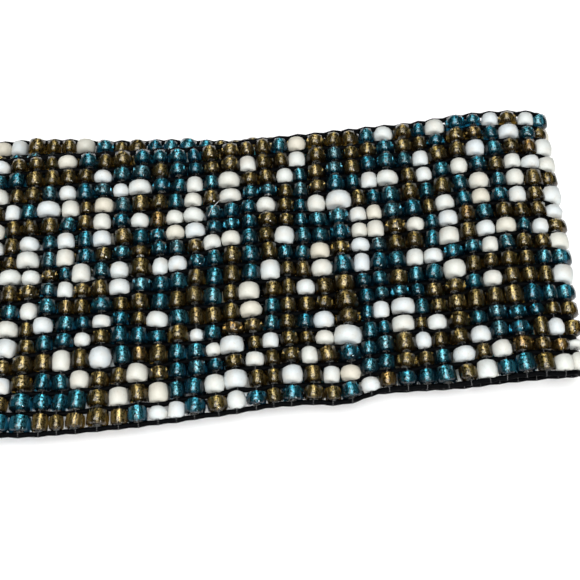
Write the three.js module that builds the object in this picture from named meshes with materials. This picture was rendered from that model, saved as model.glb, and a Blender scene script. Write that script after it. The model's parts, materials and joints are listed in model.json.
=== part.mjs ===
// Beaded waist belt: seed beads in lengthwise rows between waxed cords, sixteen rows wide,
// with a cord along each edge and a bar clasp that holds the two ends.
// The closed loop lies flat in two layers. X runs along the belt, Y across it and Z up, in
// millimetres, and the origin is at the middle of its underside.
import * as THREE from 'three';

// Beads and cords
const beadDiameter = 4.0;
const beadLength = 3.35; // along the bead's hole, which runs across the belt
const beadRows = 16;
const cordDiameter = 1.0;

// The loop and how it lies
const loopLength = 800; // once round the closed belt, on the middle line of the beads
const foldBore = 1.9; // radius inside the fold at each end of the flattened loop
const foldEasing = 34; // length over which the upper layer comes down from a fold
const layerGap = 0.6; // between the beads of the upper and the lower layer
const dentRepeat = 140; // length after which the edges' dents come again

// The clasp and the cord ends in it
const claspLength = 12;
const claspWeb = 3; // solid middle between the two slots
const claspRound = 0.8; // radius of its long outer edges
const tongueThickness = 1.2; // the cord ends, pressed side by side
const endBevel = 0.9; // length of the last beads' rounding towards the clasp
const fitGap = 0.3; // clearance between pieces that touch on the real belt

// Worked out from the sizes above
const rowPitch = beadLength + cordDiameter;
const halfWidth = beadRows * rowPitch / 2; // to the middle of each edge cord
const beadRadius = beadDiameter / 2;
const foldRadius = foldBore + beadRadius;
const foldArc = Math.PI * foldRadius;
const halfStraight = (loopLength - 2 * foldArc) / 4; // from the clasp to a fold's start
const layerLength = 2 * halfStraight;
const lowerAxis = beadRadius; // height of the lower layer's middle, its beads on the floor
const upperAxis = lowerAxis + beadDiameter + layerGap;
const foldTop = lowerAxis + 2 * foldRadius;
const slotHeight = tongueThickness + 2 * fitGap;
const slotDepth = (claspLength - claspWeb) / 2;
const upperStart = halfStraight + foldArc; // where the upper layer starts, from the clasp
const upperEnd = upperStart + layerLength;

// Sideways lie of each layer. along: share of the layer's length, from the +X fold.
// aside: shift of the middle line towards +Y, as a share of halfWidth.
const upperLie = [
  { along: 0.0, aside: 0.36 },
  { along: 0.07, aside: 0.335 },
  { along: 0.15, aside: 0.212 },
  { along: 0.24, aside: 0.088 },
  { along: 0.33, aside: -0.005 },
  { along: 0.5, aside: -0.13 },
  { along: 0.7, aside: -0.18 },
  { along: 1.0, aside: -0.175 },
];
const lowerLie = [
  { along: 0.0, aside: 0.46 },
  { along: 0.06, aside: 0.403 },
  { along: 0.12, aside: 0.35 },
  { along: 0.17, aside: 0.295 },
  { along: 0.25, aside: 0.303 },
  { along: 0.33, aside: 0.28 },
  { along: 0.66, aside: 0.06 },
  { along: 1.0, aside: -0.175 },
];

// Lean of the bead columns and the +X fold. along: share of loopLength, from the clasp.
// lean: shift of the near edge towards +X, and of the far edge back, as a share of halfWidth.
const columnLean = [
  { along: 0.0, lean: 0.0 },
  { along: 0.1, lean: 0.0 },
  { along: 0.2, lean: 0.008 },
  { along: 0.258, lean: 0.022 },
  { along: 0.34, lean: 0.046 },
  { along: 0.42, lean: 0.062 },
  { along: 0.58, lean: 0.04 },
  { along: 0.74, lean: 0.0 },
  { along: 1.0, lean: 0.0 },
];

// Dents and bulges of the two edges. along: share of dentRepeat.
// far, near: how far the edge stands out, as a share of rowPitch.
const edgeDents = [
  { along: 0.0, far: 0.06, near: -0.17 },
  { along: 0.035, far: 0.07, near: -0.16 },
  { along: 0.11, far: 0.1, near: 0.0 },
  { along: 0.17, far: -0.06, near: 0.1 },
  { along: 0.24, far: -0.06, near: -0.06 },
  { along: 0.29, far: -0.02, near: -0.05 },
  { along: 0.335, far: 0.02, near: 0.23 },
  { along: 0.39, far: 0.0, near: -0.06 },
  { along: 0.45, far: 0.09, near: -0.14 },
  { along: 0.54, far: -0.06, near: 0.03 },
  { along: 0.69, far: 0.18, near: 0.1 },
  { along: 0.8, far: 0.22, near: 0.12 },
  { along: 0.9, far: 0.12, near: -0.02 },
  { along: 1.0, far: 0.06, near: -0.17 },
];

// One row of beads seen end on. across: share of rowPitch, from the cord at its near side.
// rise: height above the band's middle, as a share of beadRadius.
const ribProfile = [
  { across: 0.0, rise: 0.36 },
  { across: 0.24, rise: 1.0 },
  { across: 0.76, rise: 1.0 },
];
const edgeRise = 0.62; // the same for the outermost beads' end faces

// Stretches of the band from the clasp once round, each with its number of sections.
const tongueTip = claspWeb / 2 + fitGap; // from the clasp's middle to the cord ends
const tongueRoot = claspLength / 2 + fitGap; // and to the last beads
const lowerHalf = halfStraight - tongueRoot - endBevel;
const stretches = [
  { length: lowerHalf, sections: 6 },
  { length: foldArc, sections: 5 },
  { length: foldEasing, sections: 4 },
  { length: dentRepeat - foldEasing, sections: 11 },
  { length: layerLength - dentRepeat - foldEasing, sections: 6 },
  { length: foldEasing, sections: 2 },
  { length: foldArc, sections: 5 },
  { length: lowerHalf, sections: 6 },
];

// Value of a table's column at a place along it: smooth through the rows, level at both ends.
function tableValue(rows, column, along) {
  const last = rows.length - 1;
  let i = 0;
  while (i < last - 1 && along > rows[i + 1].along) i += 1;
  const slope = (k) => {
    if (k === 0 || k === last) return 0;
    return (rows[k + 1][column] - rows[k - 1][column]) / (rows[k + 1].along - rows[k - 1].along);
  };
  const span = rows[i + 1].along - rows[i].along;
  const t = (along - rows[i].along) / span;
  return rows[i][column] * (1 + 2 * t) * (1 - t) ** 2
    + rows[i + 1][column] * (3 - 2 * t) * t ** 2
    + slope(i) * span * t * (1 - t) ** 2
    - slope(i + 1) * span * (1 - t) * t ** 2;
}

// The middle line seen from the side: x and z at a length s from the clasp's middle. It runs
// to +X in the lower layer, round the fold, back in the upper layer and round to the clasp.
function sidePath(s) {
  if (s < halfStraight) return { x: s, z: lowerAxis };
  if (s < upperStart) {
    const turn = (s - halfStraight) / foldRadius;
    return {
      x: halfStraight + foldRadius * Math.sin(turn),
      z: lowerAxis + foldRadius * (1 - Math.cos(turn)),
    };
  }
  if (s < upperEnd) {
    const x = halfStraight - (s - upperStart);
    const down = THREE.MathUtils.smoothstep(halfStraight - Math.abs(x), 0, foldEasing);
    return { x, z: foldTop + (upperAxis - foldTop) * down };
  }
  if (s < upperEnd + foldArc) {
    const turn = (s - upperEnd) / foldRadius;
    return {
      x: -halfStraight - foldRadius * Math.sin(turn),
      z: lowerAxis + foldRadius * (1 + Math.cos(turn)),
    };
  }
  return { x: s - loopLength, z: lowerAxis };
}

// A point of the band. s: length along the loop. across: from -1 at the middle of the near
// edge cord to 1 at the far one. out: height outwards from the middle of the beads.
function bandPoint(s, across, out) {
  const probe = 0.05;
  const middle = sidePath(s);
  const before = sidePath(s - probe);
  const after = sidePath(s + probe);
  const run = Math.hypot(after.x - before.x, after.z - before.z);
  const outward = { x: (after.z - before.z) / run, z: (before.x - after.x) / run };
  const along = THREE.MathUtils.clamp((halfStraight - middle.x) / layerLength, 0, 1);
  const upperShare = THREE.MathUtils.smoothstep(s, halfStraight, upperStart)
    - THREE.MathUtils.smoothstep(s, upperEnd, upperEnd + foldArc);
  const aside = halfWidth * THREE.MathUtils.lerp(
    tableValue(lowerLie, 'aside', along), tableValue(upperLie, 'aside', along), upperShare,
  );
  const lean = halfWidth * tableValue(columnLean, 'lean', s / loopLength);
  const dentAlong = THREE.MathUtils.euclideanModulo(s - upperStart, dentRepeat) / dentRepeat;
  const far = tableValue(edgeDents, 'far', dentAlong) * rowPitch;
  const near = tableValue(edgeDents, 'near', dentAlong) * rowPitch;
  const dent = far * (1 + across) / 2 - near * (1 - across) / 2;
  return new THREE.Vector3(
    middle.x + outward.x * out - across * lean,
    aside + across * halfWidth + dent,
    middle.z + outward.z * out,
  );
}

// Lengths s of the band's sections, from the first beads past the clasp to the last.
function sectionPlaces() {
  let s = tongueRoot + endBevel;
  const places = [s];
  for (const stretch of stretches) {
    for (let k = 1; k <= stretch.sections; k += 1) {
      places.push(s + stretch.length * k / stretch.sections);
    }
    s += stretch.length;
  }
  return places;
}

// The outline of one section, once round from its near underside: across and out.
function sectionOutline() {
  const side = (halfWidth - cordDiameter / 2 - fitGap) / halfWidth;
  const top = [{ across: -side, out: edgeRise * beadRadius }];
  for (let row = 0; row < beadRows; row += 1) {
    for (const point of ribProfile) {
      if (row === 0 && point.across === 0) continue;
      top.push({
        across: ((row + point.across) * rowPitch - halfWidth) / halfWidth,
        out: point.rise * beadRadius,
      });
    }
  }
  top.push({ across: side, out: edgeRise * beadRadius });
  const under = top.map((point) => ({ across: point.across, out: -point.out }));
  return under.concat(top.reverse());
}

// A closed solid through rings of equal length, with a flat cap on each end.
function loft(rings) {
  const sides = rings[0].length;
  const positions = [];
  const indices = [];
  for (const ring of rings) {
    for (const point of ring) positions.push(point.x, point.y, point.z);
  }
  for (let r = 0; r < rings.length - 1; r += 1) {
    for (let k = 0; k < sides; k += 1) {
      const a = r * sides + k;
      const b = r * sides + (k + 1) % sides;
      indices.push(a, a + sides, b, b, a + sides, b + sides);
    }
  }
  const lastRing = (rings.length - 1) * sides;
  for (let k = 0; k < sides / 2 - 1; k += 1) {
    const under = k;
    const above = sides - 1 - k;
    indices.push(under, under + 1, above, above, under + 1, above - 1);
    indices.push(lastRing + under, lastRing + above, lastRing + under + 1);
    indices.push(lastRing + above, lastRing + above - 1, lastRing + under + 1);
  }
  const geometry = new THREE.BufferGeometry();
  geometry.setAttribute('position', new THREE.Float32BufferAttribute(positions, 3));
  geometry.setIndex(indices);
  geometry.computeVertexNormals();
  return geometry;
}

// The woven band: ribs of beads all the way round, and at each end a thin tongue of cord
// ends that reaches into the clasp.
function bandGeometry() {
  const outline = sectionOutline();
  const places = sectionPlaces();
  const full = (s) => outline.map((point) => bandPoint(s, point.across, point.out));
  const pressed = (s) => outline.map(
    (point) => bandPoint(s, point.across, Math.sign(point.out) * tongueThickness / 2),
  );
  return loft([
    pressed(tongueTip),
    pressed(tongueRoot),
    ...places.map(full),
    pressed(loopLength - tongueRoot),
    pressed(loopLength - tongueTip),
  ]);
}

// The route of an edge cord, stepped at the same places as the band beside it.
class EdgeRoute extends THREE.Curve {
  constructor(across) {
    super();
    this.across = across;
    this.places = [tongueTip, ...sectionPlaces(), loopLength - tongueTip];
  }

  getPoint(t) {
    const step = t * (this.places.length - 1);
    const index = Math.min(Math.floor(step), this.places.length - 2);
    const s = THREE.MathUtils.lerp(this.places[index], this.places[index + 1], step - index);
    return bandPoint(s, this.across, 0);
  }

  getPointAt(t) {
    return this.getPoint(t);
  }

  getTangentAt(t) {
    return this.getTangent(t);
  }
}

// One edge cord: an eight-sided tube from the clasp once round to the clasp.
function edgeCordGeometry(across) {
  const section = new THREE.Shape();
  const sides = 8;
  for (let k = 0; k < sides; k += 1) {
    const angle = 2 * Math.PI * k / sides;
    const x = cordDiameter / 2 * Math.cos(angle);
    const y = cordDiameter / 2 * Math.sin(angle);
    if (k === 0) section.moveTo(x, y);
    else section.lineTo(x, y);
  }
  section.closePath();
  const route = new EdgeRoute(across);
  return new THREE.ExtrudeGeometry(section, {
    extrudePath: route,
    steps: route.places.length - 1,
    bevelEnabled: false,
  });
}

// The bar clasp: a metal bar with rounded long edges and a slot in each side for the cord
// ends. Its underside lies flat with the beads of the lower layer.
function claspGeometry() {
  const halfLength = claspLength / 2;
  const height = beadDiameter;
  const slotLow = lowerAxis - slotHeight / 2;
  const slotHigh = lowerAxis + slotHeight / 2;
  const inner = halfLength - claspRound;
  const quarter = Math.PI / 2;
  const profile = new THREE.Shape();
  profile.moveTo(-inner, 0);
  profile.lineTo(inner, 0);
  profile.absarc(inner, claspRound, claspRound, -quarter, 0, false);
  profile.lineTo(halfLength, slotLow);
  profile.lineTo(halfLength - slotDepth, slotLow);
  profile.lineTo(halfLength - slotDepth, slotHigh);
  profile.lineTo(halfLength, slotHigh);
  profile.absarc(inner, height - claspRound, claspRound, 0, quarter, false);
  profile.lineTo(-inner, height);
  profile.absarc(-inner, height - claspRound, claspRound, quarter, 2 * quarter, false);
  profile.lineTo(-halfLength, slotHigh);
  profile.lineTo(slotDepth - halfLength, slotHigh);
  profile.lineTo(slotDepth - halfLength, slotLow);
  profile.lineTo(-halfLength, slotLow);
  profile.absarc(-inner, claspRound, claspRound, 2 * quarter, 3 * quarter, false);
  const width = 2 * halfWidth + cordDiameter;
  const bar = new THREE.ExtrudeGeometry(profile, {
    depth: width,
    curveSegments: 3,
    bevelEnabled: false,
  });
  bar.translate(0, 0, -width / 2);
  bar.rotateX(quarter);
  return bar;
}

const belt = new THREE.Group();

function addPiece(name, geometry, colour, roughness, metalness) {
  const material = new THREE.MeshStandardMaterial({ color: colour, roughness, metalness });
  const mesh = new THREE.Mesh(geometry, material);
  mesh.name = name;
  belt.add(mesh);
  return mesh;
}

addPiece('beaded_band', bandGeometry(), 0x6f7f7c, 0.35, 0);
addPiece('far_edge_cord', edgeCordGeometry(1), 0x0b0b0c, 0.3, 0);
addPiece('near_edge_cord', edgeCordGeometry(-1), 0x0b0b0c, 0.3, 0);
const clasp = addPiece('clasp', claspGeometry(), 0x2c2a28, 0.35, 0.9);
clasp.position.y = bandPoint(0, 0, 0).y;

const extent = new THREE.Box3().setFromObject(belt);
belt.position.x = -(extent.min.x + extent.max.x) / 2;
belt.position.y = -(extent.min.y + extent.max.y) / 2;

export default belt;
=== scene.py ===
import json
import math

import bmesh
import bpy
import numpy as np
from mathutils import Matrix, Quaternion, Vector

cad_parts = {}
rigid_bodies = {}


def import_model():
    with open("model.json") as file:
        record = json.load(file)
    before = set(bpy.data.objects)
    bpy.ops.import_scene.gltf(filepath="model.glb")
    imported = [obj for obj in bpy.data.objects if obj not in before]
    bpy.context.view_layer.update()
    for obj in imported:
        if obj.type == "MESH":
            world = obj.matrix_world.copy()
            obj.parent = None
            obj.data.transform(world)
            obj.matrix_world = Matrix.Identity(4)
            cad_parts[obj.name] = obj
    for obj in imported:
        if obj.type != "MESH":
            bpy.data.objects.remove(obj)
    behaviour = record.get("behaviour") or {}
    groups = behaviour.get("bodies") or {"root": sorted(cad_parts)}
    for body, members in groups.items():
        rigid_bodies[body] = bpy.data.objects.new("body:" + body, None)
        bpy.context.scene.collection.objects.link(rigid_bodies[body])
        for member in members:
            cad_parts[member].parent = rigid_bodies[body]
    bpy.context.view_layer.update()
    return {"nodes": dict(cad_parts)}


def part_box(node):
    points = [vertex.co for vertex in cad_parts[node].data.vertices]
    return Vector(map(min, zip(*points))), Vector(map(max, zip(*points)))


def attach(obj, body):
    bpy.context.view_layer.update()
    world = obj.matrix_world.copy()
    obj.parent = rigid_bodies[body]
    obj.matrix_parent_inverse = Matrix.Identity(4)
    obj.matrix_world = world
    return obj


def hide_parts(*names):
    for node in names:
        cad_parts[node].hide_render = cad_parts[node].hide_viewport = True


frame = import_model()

# Waxed cords. Seventeen black waxed cords run side by side once round the waist, and the
# beads hang between them. The finished loop was laid down flat: the lower layer runs to the
# +X fold, the upper one back over it, and the cords bend round the longer beads.
MM = 0.001
BEAD_ROWS = 16
BEAD_DIAMETER = 4.0 * MM
BEAD_LENGTH = 3.35 * MM
CORD_DIAMETER = 1.0 * MM
INNER_CORD_DIAMETER = 1.22 * MM  # pressed flat between the beads
LOOP = 800 * MM
FOLD_RADIUS = 1.9 * MM + BEAD_DIAMETER / 2
FOLD_EASING = 34 * MM
LAYER_GAP = 0.6 * MM
DENT_REPEAT = 140 * MM
ROW_PITCH = BEAD_LENGTH + CORD_DIAMETER
HALF_WIDTH = BEAD_ROWS * ROW_PITCH / 2
FOLD_ARC = math.pi * FOLD_RADIUS
HALF_STRAIGHT = (LOOP - 2 * FOLD_ARC) / 4
LAYER_LENGTH = 2 * HALF_STRAIGHT
UPPER_START = HALF_STRAIGHT + FOLD_ARC
UPPER_END = UPPER_START + LAYER_LENGTH
LOWER_AXIS = BEAD_DIAMETER / 2
UPPER_AXIS = LOWER_AXIS + BEAD_DIAMETER + LAYER_GAP
FOLD_TOP = LOWER_AXIS + 2 * FOLD_RADIUS

# Sideways lie of each layer: share of its length from the +X fold, share of HALF_WIDTH.
UPPER_LIE = {
    "along": (0.0, 0.07, 0.15, 0.24, 0.33, 0.5, 0.7, 1.0),
    "aside": (0.36, 0.335, 0.212, 0.088, -0.005, -0.13, -0.18, -0.175),
}
LOWER_LIE = {
    "along": (0.0, 0.06, 0.12, 0.17, 0.25, 0.33, 0.66, 1.0),
    "aside": (0.46, 0.403, 0.35, 0.295, 0.303, 0.28, 0.06, -0.175),
}
# Lean of the bead columns: share of LOOP, shift of the near edge towards +X, of HALF_WIDTH.
COLUMN_LEAN = {
    "along": (0.0, 0.1, 0.2, 0.258, 0.34, 0.42, 0.58, 0.74, 1.0),
    "lean": (0.0, 0.0, 0.008, 0.022, 0.046, 0.062, 0.04, 0.0, 0.0),
}
# Dents of the two edges: share of DENT_REPEAT, share of ROW_PITCH that the edge stands out.
EDGE_DENTS = {
    "along": (0.0, 0.035, 0.11, 0.17, 0.24, 0.29, 0.335, 0.39, 0.45, 0.54, 0.69, 0.8, 0.9, 1.0),
    "far": (0.06, 0.07, 0.1, -0.06, -0.06, -0.02, 0.02, 0.0, 0.09, -0.06, 0.18, 0.22, 0.12, 0.06),
    "near": (-0.17, -0.16, 0.0, 0.1, -0.06, -0.05, 0.23, -0.06, -0.14, 0.03, 0.1, 0.12, -0.02, -0.17),
}


def table_value(table, column, along):
    """A table's column at places along it: smooth through the rows, level at both ends."""
    places = np.array(table["along"])
    values = np.array(table[column])
    slopes = np.zeros(len(places))
    slopes[1:-1] = (values[2:] - values[:-2]) / (places[2:] - places[:-2])
    i = np.clip(np.searchsorted(places, along, side="right") - 1, 0, len(places) - 2)
    span = places[i + 1] - places[i]
    t = (along - places[i]) / span
    return (
        values[i] * (1 + 2 * t) * (1 - t) ** 2
        + values[i + 1] * (3 - 2 * t) * t**2
        + slopes[i] * span * t * (1 - t) ** 2
        - slopes[i + 1] * span * (1 - t) * t**2
    )


def side_path(s):
    """The band's middle line seen from the side: x and z at a length s from the clasp."""
    right = np.clip((s - HALF_STRAIGHT) / FOLD_RADIUS, 0, math.pi)
    left = np.clip((s - UPPER_END) / FOLD_RADIUS, 0, math.pi)
    back = np.clip(s - UPPER_START, 0, LAYER_LENGTH)
    x = np.minimum(s, HALF_STRAIGHT) + FOLD_RADIUS * np.sin(right) - back
    x += np.maximum(s - UPPER_END - FOLD_ARC, 0) - FOLD_RADIUS * np.sin(left)
    down = np.clip(np.minimum(s - UPPER_START, UPPER_END - s) / FOLD_EASING, 0, 1)
    down = down * down * (3 - 2 * down)
    z = LOWER_AXIS + FOLD_RADIUS * (np.cos(left) - np.cos(right))
    return x, z + (UPPER_AXIS - FOLD_TOP) * down


def outward(s):
    """The direction away from the loop's inside at a length s, as x and z."""
    probe = 0.05 * MM
    x_before, z_before = side_path(s - probe)
    x_after, z_after = side_path(s + probe)
    run = np.hypot(x_after - x_before, z_after - z_before)
    return (z_after - z_before) / run, (x_before - x_after) / run


def smooth_share(s, start):
    """0 before the fold that starts at that length and 1 after it."""
    share = np.clip((s - start) / FOLD_ARC, 0, 1)
    return share * share * (3 - 2 * share)


def edges(s):
    """Where the far and the near edge cord lie across the belt, before the belt is set down."""
    x, _ = side_path(s)
    along = np.clip((HALF_STRAIGHT - x) / LAYER_LENGTH, 0, 1)
    upper = smooth_share(s, HALF_STRAIGHT) - smooth_share(s, UPPER_END)
    low = table_value(LOWER_LIE, "aside", along)
    aside = HALF_WIDTH * (low + upper * (table_value(UPPER_LIE, "aside", along) - low))
    dent = ((s - UPPER_START) % DENT_REPEAT) / DENT_REPEAT
    far = table_value(EDGE_DENTS, "far", dent) * ROW_PITCH
    near = table_value(EDGE_DENTS, "near", dent) * ROW_PITCH
    return aside + HALF_WIDTH + far, aside - HALF_WIDTH - near


clasp_low, clasp_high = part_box("clasp")
BELT_X = (clasp_low.x + clasp_high.x) / 2
BELT_Y = (clasp_low.y + clasp_high.y) / 2 - sum(edges(np.array(0.0))) / 2


def laid(s, y, out=0.0):
    """Points of the belt as it lies: s along the loop, y across it, out from the bead holes."""
    x, z = side_path(s)
    out_x, out_z = outward(s)
    far, near = edges(s)
    across = (2 * y - far - near) / (far - near)
    lean = HALF_WIDTH * table_value(COLUMN_LEAN, "lean", s / LOOP)
    return np.stack([x + out_x * out - across * lean + BELT_X, y + BELT_Y, z + out_z * out], -1)


# The beads' chart, one repeat of it: sixteen rows from the far edge, sixteen columns along
# the belt, in white, teal and amber. Every second repeat is turned end for end.
CHART = (
    "twaaatwatwttwawt",
    "awataataataatwta",
    "wtatatttwaawtaaw",
    "atattwwawtwtawww",
    "atwwattatatwtwaa",
    "atttwwttawtwtwaw",
    "wtttwwawtwataaaw",
    "ttwawtaatwawwtwa",
    "aawtwttwwttwtaaw",
    "awaattattwaaaatt",
    "aaaattttaatwaaaw",
    "atwatwwtaaaaattt",
    "aawwttwawattttaa",
    "awatttawaawttawa",
    "wawwttaatwawaaaw",
    "taatwatttawttaww",
)
CHART_STEP = 5  # rows by which each repeat is set on from the one before
CHART_START = 62  # column along the loop where the repeat seen beside the fold begins
COLUMNS = 191
FIRST_COLUMN = 8.65 * MM
rows_of_chart = np.array([list(row) for row in CHART])


def bead_kinds():
    """The colour of every bead, by row from the far edge and by column along the loop."""
    size = len(CHART)
    column = CHART_START - np.arange(COLUMNS)
    repeat = column // size
    place = column % size
    row = np.arange(BEAD_ROWS)[:, None]
    turned = repeat % 2 == 1
    row = (np.where(turned, size - 1 - row, row) + CHART_STEP * repeat) % size
    return rows_of_chart[row, np.where(turned, size - 1 - place, place)]


def wander(rows, columns, over_rows, over_columns):
    """Random unevenness of size 1, smooth over that many rows and columns."""
    noise = chance.standard_normal((rows + over_rows - 1, columns + over_columns - 1))
    noise = np.apply_along_axis(np.convolve, 0, noise, np.ones(over_rows), "valid")
    noise = np.apply_along_axis(np.convolve, 1, noise, np.ones(over_columns), "valid")
    return noise / noise.std()


# Unevenness of the hand weaving. A bend is shared by neighbouring cords and columns, and a
# stray is one crossing's own.
COLUMN_BEND = 0.28 * MM
COLUMN_STRAY = 0.14 * MM
CORD_STRAY = 0.22 * MM
CORD_BEND = 0.42 * MM
LONG_BEAD_PUSH = 0.13 * MM  # by which a white bead pushes its two cords apart
EDGE_FREEDOM = 0.25  # the edge cords keep to the edges

chance = np.random.default_rng(41)
kinds = bead_kinds()
column_place = np.linspace(FIRST_COLUMN, LOOP - FIRST_COLUMN, COLUMNS)
cord_share = np.linspace(0, 1, BEAD_ROWS + 1)[:, None]
cord_s = column_place + COLUMN_BEND * wander(BEAD_ROWS + 1, COLUMNS, 4, 2)
cord_s += COLUMN_STRAY * wander(BEAD_ROWS + 1, COLUMNS, 1, 1)
far_y, near_y = edges(cord_s)
free = np.ones((BEAD_ROWS + 1, 1))
free[0] = free[-1] = EDGE_FREEDOM
long_bead = np.pad((kinds == "w").astype(float), ((1, 1), (0, 0)))
cord_y = far_y + (near_y - far_y) * cord_share + free * (
    CORD_STRAY * wander(BEAD_ROWS + 1, COLUMNS, 1, 1)
    + CORD_BEND * wander(BEAD_ROWS + 1, COLUMNS, 3, 6)
    + LONG_BEAD_PUSH * (long_bead[1:] - long_bead[:-1])
)


def through(values, steps):
    """Values on a smooth line through the given ones, with that many steps between two."""
    ends = np.pad(values, ((0, 0), (1, 1)), mode="reflect", reflect_type="odd")
    a, b, c, d = ends[:, :-3], ends[:, 1:-2], ends[:, 2:-1], ends[:, 3:]
    parts = []
    for k in range(steps):
        t = k / steps
        parts.append(
            b + 0.5 * t * (c - a + t * (2 * a - 5 * b + 4 * c - d + t * (3 * (b - c) + d - a)))
        )
    return np.append(np.stack(parts, 2).reshape(len(values), -1), values[:, -1:], 1)


class Wire:
    """An output of a node tree. Sums, differences and products of wires add Math nodes."""

    def __init__(self, tree, socket=None):
        self.tree = tree
        self.socket = socket

    def node(self, kind, settings=None, sockets=None, output=0):
        """Adds a node: its settings are set first, then the values or wires of its inputs."""
        made = self.tree.nodes.new(kind)
        for name, value in (settings or {}).items():
            if name == "stops":
                ramp = made.color_ramp.elements
                while len(ramp) < len(value):
                    ramp.new(1.0)
                for stop, (place, colour) in zip(ramp, value):
                    stop.position = place
                    stop.color = (*colour, 1.0)
            else:
                setattr(made, name, value)
        for name, value in (sockets or {}).items():
            if isinstance(value, Wire):
                self.tree.links.new(value.socket, made.inputs[name])
            else:
                made.inputs[name].default_value = value
        return Wire(self.tree, made.outputs[output])

    def maths(self, operation, first, second):
        return self.node("ShaderNodeMath", {"operation": operation}, {0: first, 1: second})

    def __add__(self, other):
        return self.maths("ADD", self, other)

    __radd__ = __add__

    def __sub__(self, other):
        return self.maths("SUBTRACT", self, other)

    def __rsub__(self, other):
        return self.maths("SUBTRACT", other, self)

    def __mul__(self, other):
        return self.maths("MULTIPLY", self, other)

    __rmul__ = __mul__

    def mixed(self, first, second):
        """The first colour where this wire is 0 and the second where it is 1."""
        sides = {0: self, 6: first, 7: second}
        return self.node("ShaderNodeMix", {"data_type": "RGBA"}, sides, 2)

    def beside(self, output):
        """Another output of the node that this wire comes from."""
        return Wire(self.tree, self.socket.node.outputs[output])

    def noise(self, scale, detail=2.0):
        """Noise of that scale over this place."""
        sockets = {"Vector": self, "Scale": scale, "Detail": detail}
        return self.node("ShaderNodeTexNoise", None, sockets)

    def colour(self, stops):
        """The colour at this wire's value on a ramp of stops, each a place and a colour."""
        return self.node("ShaderNodeValToRGB", {"stops": stops}, {"Fac": self})

    def from_to(self, low, high):
        """0 where this wire is at the low value or below and 1 at the high one or above."""
        sockets = {"Value": self, "From Min": low, "From Max": high}
        return self.node("ShaderNodeMapRange", None, sockets)

    def into(self, shader, name):
        """Leads this wire into an input of the shader."""
        self.tree.links.new(self.socket, shader.inputs[name])

    def relief(self, shader, strength, depth):
        """Makes this wire the height of the fine relief of the shader's surface."""
        sockets = {"Height": self, "Strength": strength, "Distance": depth}
        self.node("ShaderNodeBump", None, sockets).into(shader, "Normal")


def new_finish(name, constants):
    """A material with those numbers and colours set on its shader: material, wire, shader."""
    material = bpy.data.materials.new(name)
    material.use_nodes = True
    shader = material.node_tree.nodes["Principled BSDF"]
    for socket, value in constants.items():
        shader.inputs[socket].default_value = value
    return material, Wire(material.node_tree), shader


def mark_of(start, name, output="Fac"):
    """A value that the mesh carries under that name."""
    return start.node("ShaderNodeAttribute", {"attribute_name": name}, output=output)


def place_of(start):
    """The place on the object, in metres."""
    return start.node("ShaderNodeTexCoord", output="Object")


def waxed_cord_finish():
    """Black wax over a two-ply twist: glossy on the strands, dusty in patches."""
    material, start, shader = new_finish("waxed_cord", {"IOR": 1.25, "Specular IOR Level": 0.06})
    strand = mark_of(start, "strand", "Vector")
    along = start.node("ShaderNodeSeparateXYZ", None, {"Vector": strand})
    turn = along.maths("ARCTAN2", along.beside("Z"), along.beside("Y"))
    twist_length = 1.9 * MM
    twists = 2 * math.pi / twist_length
    ply = along.maths("SINE", along * twists + turn * 2, 0.0)
    here = place_of(start)
    wax = here.noise(900.0, 4.0)
    fluff = here.noise(5200.0)
    black = [(0.35, (0.0002, 0.0003, 0.0005)), (0.8, (0.0014, 0.0018, 0.0023))]
    wax.colour(black).into(shader, "Base Color")
    (wax * 0.3 + fluff * 0.15 + 0.28).into(shader, "Roughness")
    (ply * 0.7 + fluff * 0.5 + wax * 0.4).relief(shader, 0.55, 0.06 * MM)
    return material


def route_mesh(name, lines):
    """A mesh of bare edges along each line of points."""
    points = np.concatenate(lines)
    links = []
    first = 0
    for line in lines:
        index = np.arange(first, first + len(line) - 1)
        links.append(np.stack([index, index + 1], 1))
        first += len(line)
    mesh = bpy.data.meshes.new(name)
    mesh.from_pydata(points.tolist(), np.concatenate(links).tolist(), [])
    return mesh


def new_tree(name, inputs):
    """A Geometry Nodes tree, and a wire for its geometry and each of the other inputs."""
    tree = bpy.data.node_groups.new(name, "GeometryNodeTree")
    kinds_of = {"Geometry": "Geometry", **inputs}
    for label, kind in kinds_of.items():
        tree.interface.new_socket(label, in_out="INPUT", socket_type="NodeSocket" + kind)
    tree.interface.new_socket("Geometry", in_out="OUTPUT", socket_type="NodeSocketGeometry")
    given = tree.nodes.new("NodeGroupInput")
    return {label: Wire(tree, given.outputs[label]) for label in kinds_of}


def whole_tree(last):
    """The tree, once its last wire of geometry is led out of it."""
    end = last.tree.nodes.new("NodeGroupOutput")
    last.tree.links.new(last.socket, end.inputs["Geometry"])
    return last.tree


def captured(geometry, kind, name, value):
    """The geometry with a value kept on it, and the kept value."""
    kept = geometry.tree.nodes.new("GeometryNodeCaptureAttribute")
    kept.capture_items.new(kind, name)
    geometry.into(kept, "Geometry")
    value.into(kept, name)
    return Wire(geometry.tree, kept.outputs["Geometry"]), Wire(geometry.tree, kept.outputs[name])


def stored(geometry, kind, name, value):
    """The geometry with a value that its points carry under a name, for the finishes."""
    return geometry.node(
        "GeometryNodeStoreNamedAttribute",
        {"data_type": kind, "domain": "POINT"},
        {"Geometry": geometry, "Name": name, "Value": value},
    )


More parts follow.
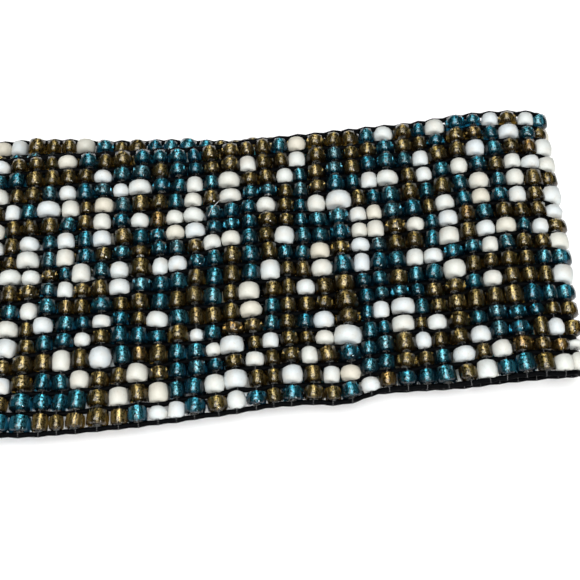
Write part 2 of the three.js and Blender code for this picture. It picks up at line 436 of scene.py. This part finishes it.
def cord_tree():
    """Geometry Nodes that lay a round strand of a given radius along each line of edges."""
    given = new_tree(
        "strand_along_lines", {"Radius": "Float", "Sides": "Int", "Material": "Material"}
    )
    start = given["Geometry"]
    lines = start.node("GeometryNodeMeshToCurve", None, {"Mesh": start})
    length = start.node("GeometryNodeSplineParameter", output="Length")
    lines, length = captured(lines, "FLOAT", "length", length)
    outline = {"Resolution": given["Sides"], "Radius": given["Radius"]}
    circle = start.node("GeometryNodeCurvePrimitiveCircle", None, outline)
    spot = start.node("GeometryNodeInputPosition")
    circle, spot = captured(circle, "VECTOR", "spot", spot)
    sweep = {"Curve": lines, "Profile Curve": circle, "Fill Caps": True}
    strand = start.node("GeometryNodeCurveToMesh", None, sweep)
    split = start.node("ShaderNodeSeparateXYZ", None, {"Vector": spot})
    mark = {"X": length, "Y": split, "Z": split.beside("Y")}
    mark = start.node("ShaderNodeCombineXYZ", None, mark)
    marked = stored(strand, "FLOAT_VECTOR", "strand", mark)
    whole = marked.node("GeometryNodeRealizeInstances", None, {"Geometry": marked})
    whole = whole.node("GeometryNodeSetShadeSmooth", None, {"Geometry": whole})
    dress = {"Geometry": whole, "Material": given["Material"]}
    return whole_tree(whole.node("GeometryNodeSetMaterial", None, dress))


def grown(name, mesh, tree, inputs):
    """A plain mesh piece made by that tree from the mesh, with the tree's inputs by name."""
    seed = bpy.data.objects.new(name + "_seed", mesh)
    bpy.context.scene.collection.objects.link(seed)
    maker = seed.modifiers.new("maker", "NODES")
    maker.node_group = tree
    for item in tree.interface.items_tree:
        if item.in_out == "INPUT" and item.name in inputs:
            maker[item.identifier] = inputs[item.name]
    seed.update_tag()
    view = bpy.context.evaluated_depsgraph_get()
    made = bpy.data.meshes.new_from_object(seed.evaluated_get(view))
    made.name = name
    piece = bpy.data.objects.new(name, made)
    bpy.context.scene.collection.objects.link(piece)
    seed.modifiers.remove(maker)
    bpy.data.objects.remove(seed)
    return piece


def settled(piece, slot, *nodes):
    """The finished piece rides on the belt's one body and stands for those CAD nodes."""
    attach(piece, "root")
    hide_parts(*nodes)


CLASPED = (1.8 * MM, 4.5 * MM)  # the last two points of each cord's ends, held in the clasp
FAR_LIFT = 0.5 * MM
EDGE_CORDS = (  # side, place among the cords, dip between the beads, radius
    ("far", 0, 0.5 * MM, 0.59 * MM),
    ("near", BEAD_ROWS, 0.2 * MM, 0.56 * MM),
)


def drawn_up(s):
    """How far the thread draws the far edge cord up, which it does in the upper layer."""
    return FAR_LIFT * (smooth_share(s, HALF_STRAIGHT) - smooth_share(s, UPPER_END))


def cord_line(k, steps, dip=0.0):
    """Points along cord k, from its end in the clasp once round to the other end. An edge
    cord dips in between the beads."""
    end_places = np.array([CLASPED])
    s = np.concatenate([end_places, cord_s[k : k + 1], LOOP - end_places[:, ::-1]], 1)
    far, near = edges(s)
    y = far + (near - far) * cord_share[k, 0]
    y[:, 2:-2] = cord_y[k]
    between = np.arange(steps * (s.shape[1] - 1) + 1) / steps
    inwards = dip * (cord_share[k, 0] * 2 - 1) * np.sin(math.pi * between) ** 2
    s = through(s, steps)[0]
    return laid(s, through(y, steps)[0] + inwards, drawn_up(s) if k == 0 else 0.0)


waxed_cord = waxed_cord_finish()
strand_tree = cord_tree()
inner_look = {"Radius": INNER_CORD_DIAMETER / 2, "Sides": 6, "Material": waxed_cord}
inner_lines = route_mesh("inner_cords", [cord_line(k, 3) for k in range(1, BEAD_ROWS)])
inner_cords = grown("inner_cords", inner_lines, strand_tree, inner_look)
settled(inner_cords, "waxed_cord", "beaded_band")
for side, k, dip, radius in EDGE_CORDS:
    name = side + "_waxed_cord"
    edge_line = route_mesh(name, [cord_line(k, 4, dip)])
    edge_look = {"Radius": radius, "Sides": 10, "Material": waxed_cord}
    edge_cord = grown(name, edge_line, strand_tree, edge_look)
    settled(edge_cord, "waxed_cord", side + "_edge_cord")

# Opaque white beads. Short barrels of opaque off-white glass with fire-rounded ends, a
# little longer and fatter than the clear ones, some cream and some cool. Every bead sits
# between two cords, its hole across the belt, and is pressed against its neighbours.
WHITE_DIAMETER = 4.6 * MM
GLASS_DIAMETER = 4.2 * MM
WHITE_HOLE = 0.21  # the hole's share of a bead's diameter
GLASS_HOLE = 0.43
BEAD_SIDES = 12
BELLY = 0.51  # radius of a bead's middle, and how far out its hole's rims are
RIM_PLACE = 0.47
OUT_OF_ROUND = 0.4  # share of a blank's unevenness
# Outlines of the beads, as shares of their size: radius of the flat end, radius of the
# shoulder and how far the shoulder is from the middle.
WHITE_OUTLINES = (
    (0.29, 0.465, 0.385),
    (0.25, 0.45, 0.36),
    (0.2, 0.43, 0.33),
    (0.31, 0.47, 0.4),
)
GLASS_OUTLINES = (
    (0.36, 0.49, 0.41),
    (0.34, 0.485, 0.4),
    (0.31, 0.475, 0.38),
    (0.39, 0.495, 0.43),
)
# How the beads differ: in width as a share of it, in height over the row and in tilt.
WHITE_SPREAD = 0.065
GLASS_SPREAD = 0.03
LIFT_SPREAD = 0.1 * MM
TILT_SPREAD = 0.05
# How they are pressed together: the share of the crowding by which they shift along the row,
# the rounds of fitting, how much of a misfit each round takes up, and the most it may grow.
SHIFT = 0.75
ROUNDS = 8
YIELD = 0.4
GROWTH = 1.07
# How far a bead's ends press into the cords, and how much shorter some beads are.
WHITE_PRESS = 0.4 * MM
GLASS_PRESS = 0.15 * MM
SHORTER = 0.1 * MM
SHORTEST = 0.45 * MM


def seated_beads():
    """Centre, turn and size of every bead, by row and column."""
    first = laid(cord_s[:-1], cord_y[:-1])
    last = laid(cord_s[1:], cord_y[1:])
    white = kinds == "w"
    width = np.where(white, WHITE_DIAMETER, GLASS_DIAMETER)
    spread = np.where(white, WHITE_SPREAD, GLASS_SPREAD)
    width = width * (1 + spread * wander(BEAD_ROWS, COLUMNS, 1, 1).clip(-2, 2))
    crowding = np.cumsum(width - width.mean(1, keepdims=True), 1)
    trend = np.apply_along_axis(
        lambda row: np.convolve(np.pad(row, 4, mode="edge"), np.ones(9) / 9, "valid"), 1, crowding
    )
    s = (cord_s[:-1] + cord_s[1:]) / 2 + SHIFT * (crowding - trend)
    y = (cord_y[:-1] + cord_y[1:]) / 2
    lift = LIFT_SPREAD * wander(BEAD_ROWS, COLUMNS, 1, 1).clip(-2, 2)
    centre = laid(s, y, lift)
    apart = np.linalg.norm(centre[:, 1:] - centre[:, :-1], axis=-1)
    for _ in range(ROUNDS):
        squeeze = np.minimum(GROWTH, 2 * apart / (width[:, 1:] + width[:, :-1])) ** YIELD
        width[:, 1:] *= squeeze
        width[:, :-1] *= squeeze
    centre[..., 2] = np.maximum(centre[..., 2], width / 2)
    hole = first - last
    gap = np.linalg.norm(hole, axis=-1)
    hole /= gap[..., None]
    tilt = TILT_SPREAD * chance.standard_normal(hole.shape)
    hole += tilt
    hole /= np.linalg.norm(hole, axis=-1)[..., None]
    short = chance.exponential(SHORTER, gap.shape).clip(0, SHORTEST) * np.where(white, 2, 1)
    length = gap - INNER_CORD_DIAMETER + np.where(white, WHITE_PRESS, GLASS_PRESS) - short
    return centre, hole, width, length


def bead_turns(holes, places, spins):
    """Turns that lay a blank's hole along each direction, spun round it from upright."""
    out_x, out_z = outward(places)
    turns = np.empty((len(holes), 4))
    for i, hole in enumerate(holes):
        along = Vector(hole)
        across = along.cross(Vector((out_x[i], 0, out_z[i]))).normalized()
        up = across.cross(along)
        upright = Matrix((across, along, up)).transposed().to_quaternion()
        turns[i] = upright @ Quaternion((0, 1, 0), spins[i])
    return turns


def barrel(hole, end, shoulder, shoulder_place):
    """A bead's outline from one hole rim over the body to the other: radius, place along.
    It is given its hole's width, the radius of its flat ends and of its shoulders, and
    where those are."""
    rim = hole / 2
    return [
        (rim, -RIM_PLACE),
        (end, -0.5),
        (shoulder, -shoulder_place),
        (BELLY, 0.0),
        (shoulder, shoulder_place),
        (end, 0.5),
        (rim, RIM_PLACE),
    ]


def bead_blank(name, profile, unevenness):
    """One bead of diameter 1 and length 1 with its hole along Y: a lathed ring, closed
    through the hole, with its ends a little askew and its body a little out of round."""
    form = bmesh.new()
    askew = unevenness * chance.uniform(-1, 1, 4)
    rings = []
    for radius, along in profile:
        ring = []
        for k in range(BEAD_SIDES):
            angle = 2 * math.pi * k / BEAD_SIDES
            oval = OUT_OF_ROUND * askew[0] * math.cos(2 * angle + 9 * askew[1])
            reach = radius * (1 + oval)
            x = reach * math.cos(angle)
            z = reach * math.sin(angle)
            slant = askew[2] if along > 0 else askew[3]
            ring.append(form.verts.new((x, along + slant * x * abs(along), z)))
        rings.append(ring)
    wall = form.faces.layers.bool.new("hole_wall")
    for i, ring in enumerate(rings):
        other = rings[(i + 1) % len(rings)]
        for k in range(BEAD_SIDES):
            turn = (k + 1) % BEAD_SIDES
            face = form.faces.new((ring[k], ring[turn], other[turn], other[k]))
            face.smooth = True
            face[wall] = i == len(rings) - 1
    for ring in (rings[0], rings[-1]):
        for k in range(BEAD_SIDES):
            form.edges.get((ring[k], ring[(k + 1) % BEAD_SIDES])).smooth = False
    bmesh.ops.recalc_face_normals(form, faces=form.faces)
    mesh = bpy.data.meshes.new(name)
    form.to_mesh(mesh)
    form.free()
    return bpy.data.objects.new(name, mesh)


def bead_blanks(name, hole, outlines, unevenness):
    """A small collection of bead blanks to pick from, one to each outline."""
    blanks = bpy.data.collections.new(name)
    for i, (end, shoulder, shoulder_place) in enumerate(outlines):
        outline = barrel(hole, end, shoulder, shoulder_place)
        blanks.objects.link(bead_blank(f"{name}_{i}", outline, unevenness))
    return blanks


def stringing_tree():
    """Geometry Nodes that set a bead on every point, by its turn, size and blank."""
    given = new_tree(
        "beads_on_points", {"Blanks": "Collection", "Glass": "Material", "Hole": "Material"}
    )
    start = given["Geometry"]

    def mark(name, kind):
        return start.node("GeometryNodeInputNamedAttribute", {"data_type": kind}, {"Name": name})

    kept = {"Collection": given["Blanks"], "Separate Children": True, "Reset Children": True}
    beads = start.node(
        "GeometryNodeInstanceOnPoints",
        None,
        {
            "Points": start,
            "Instance": start.node("GeometryNodeCollectionInfo", None, kept),
            "Pick Instance": True,
            "Instance Index": mark("blank", "INT"),
            "Rotation": mark("turn", "QUATERNION"),
            "Scale": mark("size", "FLOAT_VECTOR"),
        },
    )
    whole = beads.node("GeometryNodeRealizeInstances", None, {"Geometry": beads})
    # rise is how far each point's surface faces up; the glass finishes use it for painted shade at
    # the sides and below.
    normal = start.node("GeometryNodeInputNormal")
    rise = start.node("ShaderNodeSeparateXYZ", None, {"Vector": normal}, "Z")
    marked = stored(whole, "FLOAT", "rise", rise)
    body = {"Geometry": marked, "Material": given["Glass"]}
    dressed = marked.node("GeometryNodeSetMaterial", None, body)
    wall = {
        "Geometry": dressed,
        "Selection": mark("hole_wall", "BOOLEAN"),
        "Material": given["Hole"],
    }
    return whole_tree(dressed.node("GeometryNodeSetMaterial", None, wall))


def point_mesh(name, points, marks):
    """A mesh of loose points that carry named values."""
    mesh = bpy.data.meshes.new(name)
    mesh.from_pydata(points.tolist(), [], [])
    for mark, (kind, values) in marks.items():
        field = "vector" if kind == "FLOAT_VECTOR" else "value"
        mesh.attributes.new(mark, kind, "POINT").data.foreach_set(field, values.ravel())
    return mesh


centres, holes, widths, lengths = seated_beads()
bead_place = (cord_s[:-1] + cord_s[1:]) / 2
in_upper = (bead_place > HALF_STRAIGHT + FOLD_ARC / 2) & (bead_place < UPPER_END + FOLD_ARC / 2)
tones = chance.uniform(0, 1, kinds.shape)
blank_of = chance.integers(0, len(WHITE_OUTLINES), kinds.shape)
spin_of = chance.uniform(0, 2 * math.pi, kinds.shape)
bead_tree = stringing_tree()


def put_away(blanks):
    """Removes the blanks, once every bead of them is set."""
    for blank in list(blanks.objects):
        bpy.data.objects.remove(blank)


def string_beads(colour, letter, blanks, glass, hole, slot):
    """All beads of one colour, as one piece in each layer of the folded belt."""
    for layer, there in (("upper", in_upper), ("lower", ~in_upper)):
        chosen = there & (kinds == letter)
        size = np.stack([widths[chosen], lengths[chosen], widths[chosen]], 1)
        marks = {
            "turn": ("QUATERNION", bead_turns(holes[chosen], bead_place[chosen], spin_of[chosen])),
            "size": ("FLOAT_VECTOR", size),
            "tone": ("FLOAT", tones[chosen]),
            "blank": ("INT", blank_of[chosen]),
        }
        name = f"{colour}_beads_{layer}"
        points = point_mesh(name, centres[chosen], marks)
        inputs = {"Blanks": blanks, "Glass": glass, "Hole": hole}
        settled(grown(name, points, bead_tree, inputs), slot, "beaded_band")
    put_away(blanks)


WHITES = [
    (0.0, (0.51, 0.555, 0.57)),
    (0.45, (0.53, 0.56, 0.54)),
    (0.85, (0.53, 0.53, 0.47)),
    (1.0, (0.515, 0.48, 0.385)),
]
STAIN = (0.5, 0.46, 0.39, 1.0)
SPECK = (0.44, 0.41, 0.34, 1.0)


def white_finish():
    """Opaque off-white glass: a satin skin, cream to cool from bead to bead, fine specks."""
    material, start, shader = new_finish("opaque_white_glass", {"IOR": 1.5})
    here = place_of(start)
    cloud = here.noise(420.0, 3.0)
    grain = here.noise(2900.0)
    speck = grain.from_to(0.63, 0.72)
    body = mark_of(start, "tone").colour(WHITES)
    body = (cloud.from_to(0.45, 0.8) * 0.7).mixed(body, STAIN)
    (speck * 0.7).mixed(body, SPECK).into(shader, "Base Color")
    (cloud * 0.3 + speck * 0.2 + 0.36).into(shader, "Roughness")
    (cloud * 0.8 + grain * 0.25 - speck * 0.5).relief(shader, 0.35, 0.06 * MM)
    return material


white_glass = white_finish()
white_blanks = bead_blanks("white_blank", WHITE_HOLE, WHITE_OUTLINES, 0.16)
string_beads("white", "w", white_blanks, white_glass, white_glass, "opaque_white_beads")

# Teal beads. Transparent teal glass drawn over a hole that is lined with silver, which
# shows through the glass as a bright streak; some are smoky. They are strung and seated
# like the white ones.


def lining_finish():
    """Silver on the wall of the hole: bright, thin and patchy."""
    material, start, shader = new_finish("silver_lining", {"Metallic": 1.0})
    patch = place_of(start).noise(2400.0)
    silver_stops = [(0.42, (0.06, 0.06, 0.05)), (0.53, (0.95, 0.95, 0.93))]
    patch.colour(silver_stops).into(shader, "Base Color")
    (0.66 - patch * 0.54).into(shader, "Roughness")
    patch.relief(shader, 0.8, 0.2 * MM)
    return material


def glass_finish(name, stops, painted_shade):
    """Clear coloured glass, uneven in colour from bead to bead, with a fire-polished skin.
    It darkens to a painted shade colour below and at the sides, by how far its surface faces up."""
    material, start, shader = new_finish(name, GLASS)
    swirl = place_of(start).noise(700.0)
    colour = (mark_of(start, "tone") * 0.85 + swirl * 0.15).colour(stops)
    # Painted shade: the bead's own colour on top, going over to the darker shade colour where the
    # surface faces sideways or down.
    lit_share = mark_of(start, "rise").from_to(0.4, 0.9)
    lit_share.mixed((*painted_shade, 1.0), colour).into(shader, "Base Color")
    (swirl * 0.06 + 0.01).into(shader, "Roughness")
    swirl.relief(shader, 0.4, 0.12 * MM)
    return material


GLASS = {
    "IOR": 1.36,
    "Transmission Weight": 0.974,
    "Coat Weight": 0.36,
    "Coat IOR": 1.5,
    "Coat Roughness": 0.03,
}
TEAL = [
    (0.0, (0.04, 0.32, 0.46)),
    (0.4, (0.07, 0.46, 0.6)),
    (0.8, (0.13, 0.57, 0.7)),
    (1.0, (0.27, 0.47, 0.52)),
]
silver = lining_finish()
# The last colour is the painted shade for the sides and below.
teal_glass = glass_finish("teal_glass", TEAL, (0.004, 0.066, 0.12))
teal_blanks = bead_blanks("teal_blank", GLASS_HOLE, GLASS_OUTLINES, 0.1)
string_beads("teal", "t", teal_blanks, teal_glass, silver, "teal_glass_beads")

# Amber beads. The same silver-lined glass in amber, from olive brown to pale gold, strung
# and seated like the others.
AMBER = [
    (0.0, (0.32, 0.23, 0.07)),
    (0.4, (0.45, 0.34, 0.11)),
    (0.8, (0.6, 0.45, 0.17)),
    (1.0, (0.52, 0.25, 0.05)),
]
# The last colour is the painted shade for the sides and below.
amber_glass = glass_finish("amber_glass", AMBER, (0.1, 0.058, 0.01))
amber_blanks = bead_blanks("amber_blank", GLASS_HOLE, GLASS_OUTLINES, 0.1)
string_beads("amber", "a", amber_blanks, amber_glass, silver, "amber_glass_beads")

# Clear thread. Fine clear thread passes through each column of beads, over every cord on
# the way across and under it on the way back, and round the edge cord into the next.
THREAD_DIAMETER = 0.15 * MM
RING_STEPS = 8
RING_SIDES = 4
REACH = 0.95 * MM  # from the middle of a cord into the holes on both sides of it
EDGE_REACH = (REACH + CORD_DIAMETER / 2 + THREAD_DIAMETER / 2) / 2
EDGE_SHIFT = REACH - EDGE_REACH


def thread_ring():
    """One closed loop of thread round a cord: out of a hole, over the cord, into the next."""
    form = bmesh.new()
    height = CORD_DIAMETER / 2 + THREAD_DIAMETER / 2
    rings = []
    for i in range(RING_STEPS):
        turn = 2 * math.pi * i / RING_STEPS
        middle = Vector((0, REACH * math.cos(turn), height * math.sin(turn)))
        away = Vector((0, math.cos(turn), math.sin(turn)))
        ring = []
        for k in range(RING_SIDES):
            angle = 2 * math.pi * (k + 0.5) / RING_SIDES
            spot = middle + THREAD_DIAMETER / 2 * (
                math.cos(angle) * away + math.sin(angle) * Vector((1, 0, 0))
            )
            ring.append(form.verts.new(spot))
        rings.append(ring)
    form.faces.layers.bool.new("hole_wall")
    for i, ring in enumerate(rings):
        other = rings[(i + 1) % RING_STEPS]
        for k in range(RING_SIDES):
            turn = (k + 1) % RING_SIDES
            form.faces.new((ring[k], ring[turn], other[turn], other[k])).smooth = True
    bmesh.ops.recalc_face_normals(form, faces=form.faces)
    mesh = bpy.data.meshes.new("thread_ring")
    form.to_mesh(mesh)
    form.free()
    rings_kept = bpy.data.collections.new("thread_rings")
    rings_kept.objects.link(bpy.data.objects.new("thread_ring", mesh))
    return rings_kept


def thread_finish(name, clear, milky):
    """Clear nylon, a little milky and shiny. On the cords it takes on their black."""
    material, start, shader = new_finish(name, {"IOR": 1.53, "Roughness": 0.25})
    milk = place_of(start).noise(600.0)
    milk.mixed((clear, clear, clear, 1.0), (milky, milky, milky, 1.0)).into(shader, "Base Color")
    return material


def string_thread():
    """The thread's loops round all the cords, as one piece in each layer."""
    ring = thread_ring()
    finish = thread_finish("clear_thread", 0.03, 0.17)
    direction = np.empty(cord_s.shape + (3,))
    points = laid(cord_s, cord_y)
    points[0] = laid(cord_s[0], cord_y[0], drawn_up(cord_s[0]))
    direction[1:-1] = points[:-2] - points[2:]
    direction[0] = points[0] - points[1]
    direction[-1] = points[-2] - points[-1]
    direction /= np.linalg.norm(direction, axis=-1)[..., None]
    size = np.ones(cord_s.shape + (3,))
    size[[0, -1], :, 1] = EDGE_REACH / REACH
    points[0] -= EDGE_SHIFT * direction[0]
    points[-1] += EDGE_SHIFT * direction[-1]
    upper = (cord_s > HALF_STRAIGHT + FOLD_ARC / 2) & (cord_s < UPPER_END + FOLD_ARC / 2)
    for layer, there in (("upper", upper), ("lower", ~upper)):
        count = int(there.sum())
        marks = {
            "turn": ("QUATERNION", bead_turns(direction[there], cord_s[there], np.zeros(count))),
            "size": ("FLOAT_VECTOR", size[there]),
            "blank": ("INT", np.zeros(count, int)),
        }
        name = "thread_" + layer
        mesh = point_mesh(name, points[there], marks)
        inputs = {"Blanks": ring, "Glass": finish, "Hole": finish}
        settled(grown(name, mesh, bead_tree, inputs), "clear_thread", "beaded_band")
    put_away(ring)


string_thread()

# A loose end lies over the beads of the upper layer: x, y and z of its bends, in mm.
LOOSE_END = [
    (117.6, 14.0, 8.6),
    (118.3, 15.3, 9.5),
    (119.4, 16.7, 9.7),
    (120.2, 18.0, 9.2),
    (120.4, 19.0, 8.2),
]
loose_line = route_mesh("loose_thread_end", [np.array(LOOSE_END) * MM])
loose_finish = thread_finish("loose_clear_thread", 0.3, 0.55)
loose_look = {"Radius": THREAD_DIAMETER / 2, "Sides": 6, "Material": loose_finish}
loose_end = grown("loose_thread_end", loose_line, strand_tree, loose_look)
settled(loose_end, "clear_thread", "beaded_band")

# Clasp. One plain bar of blackened metal with a slot in each side, which holds the pressed
# ends of all the cords. Its form is the CAD's; it gets its finish here.


def clasp_finish():
    """Blackened metal, rubbed bright in fine scratches and patches."""
    material, start, shader = new_finish("clasp_metal", {"Metallic": 1.0})
    here = place_of(start)
    brushed = {"Vector": here, "Scale": (4000.0, 60.0, 4000.0)}
    scratch = here.node("ShaderNodeMapping", None, brushed).noise(1.0)
    wear = here.noise(240.0, 6.0) * 0.7 + scratch * 0.3
    metal = [(0.42, (0.03, 0.028, 0.026)), (0.68, (0.22, 0.2, 0.17))]
    wear.colour(metal).into(shader, "Base Color")
    (0.55 - wear * 0.3).into(shader, "Roughness")
    scratch.relief(shader, 0.25, 0.05 * MM)
    return material


clasp = frame["nodes"]["clasp"]
clasp.data.materials.clear()
clasp.data.materials.append(clasp_finish())

# Floor, light and camera. A plain white floor, soft lights overhead, behind and low in
# front, and a dim surround; the camera looks down on the belt at the photo's angle.
FLOOR_SIZE = 3.0
FLOOR_WHITE = (0.95, 0.95, 0.95, 1.0)
LAMPS = {  # place and width in metres, power in watts
    "overhead": ((0.0, -0.34, 0.9), 0.8, 12.8),
    "back": ((0.1, 0.42, 0.91), 0.62, 4.0),
    "front": ((0.42, -0.76, 0.34), 0.16, 4.2),
}
SURROUND = 0.02
AIM = Vector((136.28 * MM, -4.45 * MM, 6.6 * MM))
DISTANCE = 248 * MM
ELEVATION = math.radians(60)
FOCAL_PIXELS = 1115
PHOTO_PIXELS = 580
SENSOR = 36.0

floor_mesh = bpy.data.meshes.new("floor")
half = FLOOR_SIZE / 2
corners = [(-half, -half, 0), (half, -half, 0), (half, half, 0), (-half, half, 0)]
floor_mesh.from_pydata(corners, [], [(0, 1, 2, 3)])
floor = bpy.data.objects.new("floor", floor_mesh)
bpy.context.scene.collection.objects.link(floor)
floor_paint = new_finish("floor_paint", {"Roughness": 0.9, "Base Color": FLOOR_WHITE})[0]
floor_mesh.materials.append(floor_paint)


def soft_light(name, place, size, power):
    """A square light that faces the belt."""
    lamp = bpy.data.lights.new(name, "AREA")
    lamp.size = size
    lamp.energy = power
    light = bpy.data.objects.new(name, lamp)
    light.location = place
    light.rotation_euler = (AIM - Vector(place)).to_track_quat("-Z", "Y").to_euler()
    bpy.context.scene.collection.objects.link(light)


for name, (place, size, power) in LAMPS.items():
    soft_light(name, place, size, power)

world = bpy.data.worlds.new("surround")
world.use_nodes = True
surround = world.node_tree.nodes["Background"]
surround.inputs["Color"].default_value = (1.0, 1.0, 1.0, 1.0)
surround.inputs["Strength"].default_value = SURROUND
bpy.context.scene.world = world
bpy.context.scene.view_settings.view_transform = "Standard"

lens = bpy.data.cameras.new("camera")
lens.sensor_width = SENSOR
lens.lens = FOCAL_PIXELS / PHOTO_PIXELS * SENSOR
lens.clip_start = 0.01
camera = bpy.data.objects.new("camera", lens)
look = Vector((0, math.cos(ELEVATION), -math.sin(ELEVATION)))
camera.location = AIM - DISTANCE * look
camera.rotation_euler = look.to_track_quat("-Z", "Y").to_euler()
bpy.context.scene.collection.objects.link(camera)
bpy.context.scene.camera = camera
